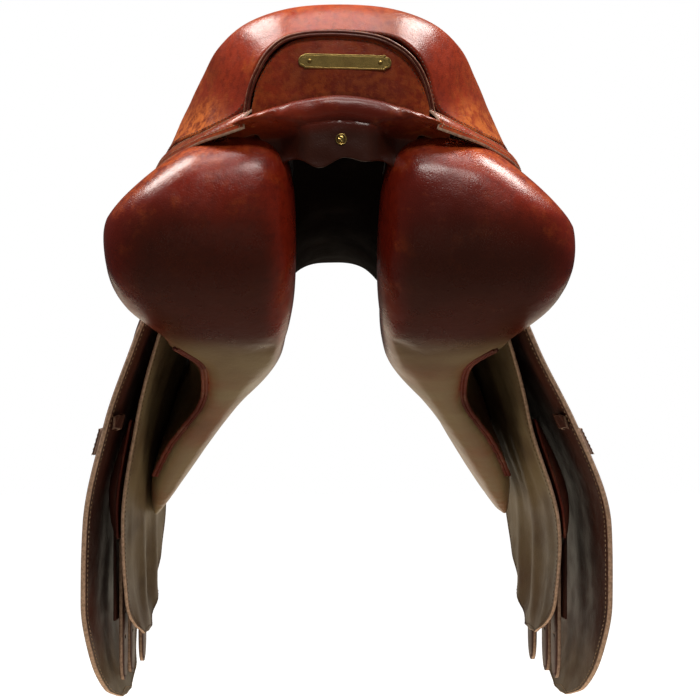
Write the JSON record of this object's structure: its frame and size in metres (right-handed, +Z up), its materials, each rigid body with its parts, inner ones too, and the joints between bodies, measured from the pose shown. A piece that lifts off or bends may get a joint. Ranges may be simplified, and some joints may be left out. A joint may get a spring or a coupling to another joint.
{
  "type": "english saddle",
  "caption": "English riding saddle with dished seat, padded panels either side of an open channel, lifting flaps and skirts, stirrup bars, girth straps and D-rings.",
  "frame": {"origin": "on the horse's back, in the middle of the channel at the waist (narrowest part) of the seat", "axes": "+Z up, +Y to the front (pommel), +X to the saddle's right side"},
  "size_m": [0.4478, 0.5298, 0.566],
  "materials": {
    "oxblood_leather": "deep oxblood brown, glossy, worn to orange tan on the edges",
    "bridle_leather": "dark red-brown bridle leather, waxed, with a stitched edge",
    "flesh_leather": "khaki-brown unfinished underside, matt",
    "brass": "polished, lightly scratched",
    "steel": "satin forged and pressed steel",
    "wood": "laminated beech, unfinished",
    "foam": "soft seat filling",
    "webbing": "woven flax webbing, undyed"
  },
  "bodies": {
    "saddle": {"tree_frame": "wood", "tree_head_arch": "wood", "head_plate": "steel", "gullet_plate": "steel", "cantle_plate": "steel", "tree_spring_left": "steel", "tree_spring_right": "steel", "seat_foam": "foam", "seat_webbing": "webbing", "seat_cover": "oxblood_leather", "cantle_back_panel": "oxblood_leather", "cantle_welt": "bridle_leather", "panel_rear_facing": "oxblood_leather", "panel_screw": "brass", "panel_screw_cup": "brass", "nameplate": "brass", "nameplate_pin_left": "brass", "nameplate_pin_right": "brass", "channel_lining": "bridle_leather", "panel_left": "oxblood_leather", "sweat_flap_left": "flesh_leather", "side_valance_left": "oxblood_leather", "knee_block_left": "bridle_leather", "calf_block_left": "bridle_leather", "point_pocket_left": "bridle_leather", "girth_web_front_left": "webbing", "girth_web_rear_left": "webbing", "stirrup_bar_left": "steel", "d_ring_chape_left": "bridle_leather", "panel_right": "oxblood_leather", "sweat_flap_right": "flesh_leather", "side_valance_right": "oxblood_leather", "knee_block_right": "bridle_leather", "calf_block_right": "bridle_leather", "point_pocket_right": "bridle_leather", "girth_web_front_right": "webbing", "girth_web_rear_right": "webbing", "stirrup_bar_right": "steel", "d_ring_chape_right": "bridle_leather"},
    "flap_left": {"flap_left": "bridle_leather", "flap_keeper_left": "bridle_leather"},
    "skirt_left": {"skirt_left": "bridle_leather"},
    "billet_front_left": {"billet_front_left": "bridle_leather"},
    "billet_pair_left": {"billet_middle_left": "bridle_leather", "billet_rear_left": "bridle_leather"},
    "buckle_guard_left": {"buckle_guard_left": "bridle_leather"},
    "bar_catch_left": {"bar_catch_left": "steel"},
    "d_ring_left": {"d_ring_left": "steel"},
    "flap_right": {"flap_right": "bridle_leather", "flap_keeper_right": "bridle_leather"},
    "skirt_right": {"skirt_right": "bridle_leather"},
    "billet_front_right": {"billet_front_right": "bridle_leather"},
    "billet_pair_right": {"billet_middle_right": "bridle_leather", "billet_rear_right": "bridle_leather"},
    "buckle_guard_right": {"buckle_guard_right": "bridle_leather"},
    "bar_catch_right": {"bar_catch_right": "steel"},
    "d_ring_right": {"d_ring_right": "steel"}
  },
  "joints": [
    {"name": "flap_lift_left", "type": "hinge", "parent": "saddle", "child": "flap_left", "pos_m": [-0.12136, 0, 0.10224], "axis": [0.2021, 0.9714, 0.1243], "range_deg": [0, 65]},
    {"name": "skirt_lift_left", "type": "hinge", "parent": "flap_left", "child": "skirt_left", "pos_m": [-0.12136, 0, 0.10224], "axis": [0.2021, 0.9714, 0.1243], "range_deg": [0, 40]},
    {"name": "front_billet_swing_left", "type": "hinge", "parent": "saddle", "child": "billet_front_left", "pos_m": [-0.12865, 0.11, 0.02], "axis": [1, 0, 0], "range_deg": [-4, 4]},
    {"name": "rear_billets_swing_left", "type": "hinge", "parent": "saddle", "child": "billet_pair_left", "pos_m": [-0.13777, 0.034, 0.02], "axis": [1, 0, 0], "range_deg": [-4, 4]},
    {"name": "guard_slide_left", "type": "slide", "parent": "billet_pair_left", "child": "buckle_guard_left", "axis": [0, 0, 1], "range_m": [-0.038, 0.006]},
    {"name": "bar_catch_turn_left", "type": "hinge", "parent": "saddle", "child": "bar_catch_left", "pos_m": [-0.13174, 0.0585, 0.058], "axis": [-1, 0, 0], "range_deg": [0, 75]},
    {"name": "d_ring_swing_left", "type": "hinge", "parent": "saddle", "child": "d_ring_left", "pos_m": [-0.048, 0.2, 0.1265], "axis": [0, 1, 0], "range_deg": [-60, 85]},
    {"name": "flap_lift_right", "type": "hinge", "parent": "saddle", "child": "flap_right", "pos_m": [0.12136, 0, 0.10224], "axis": [0.2021, -0.9714, -0.1243], "range_deg": [0, 65]},
    {"name": "skirt_lift_right", "type": "hinge", "parent": "flap_right", "child": "skirt_right", "pos_m": [0.12136, 0, 0.10224], "axis": [0.2021, -0.9714, -0.1243], "range_deg": [0, 40]},
    {"name": "front_billet_swing_right", "type": "hinge", "parent": "saddle", "child": "billet_front_right", "pos_m": [0.12865, 0.11, 0.02], "axis": [1, 0, 0], "range_deg": [-4, 4]},
    {"name": "rear_billets_swing_right", "type": "hinge", "parent": "saddle", "child": "billet_pair_right", "pos_m": [0.13777, 0.034, 0.02], "axis": [1, 0, 0], "range_deg": [-4, 4]},
    {"name": "guard_slide_right", "type": "slide", "parent": "billet_pair_right", "child": "buckle_guard_right", "axis": [0, 0, 1], "range_m": [-0.038, 0.006]},
    {"name": "bar_catch_turn_right", "type": "hinge", "parent": "saddle", "child": "bar_catch_right", "pos_m": [0.13174, 0.0585, 0.058], "axis": [-1, 0, 0], "range_deg": [0, 75]},
    {"name": "d_ring_swing_right", "type": "hinge", "parent": "saddle", "child": "d_ring_right", "pos_m": [0.048, 0.2, 0.1265], "axis": [0, -1, 0], "range_deg": [-60, 85]}
  ]
}
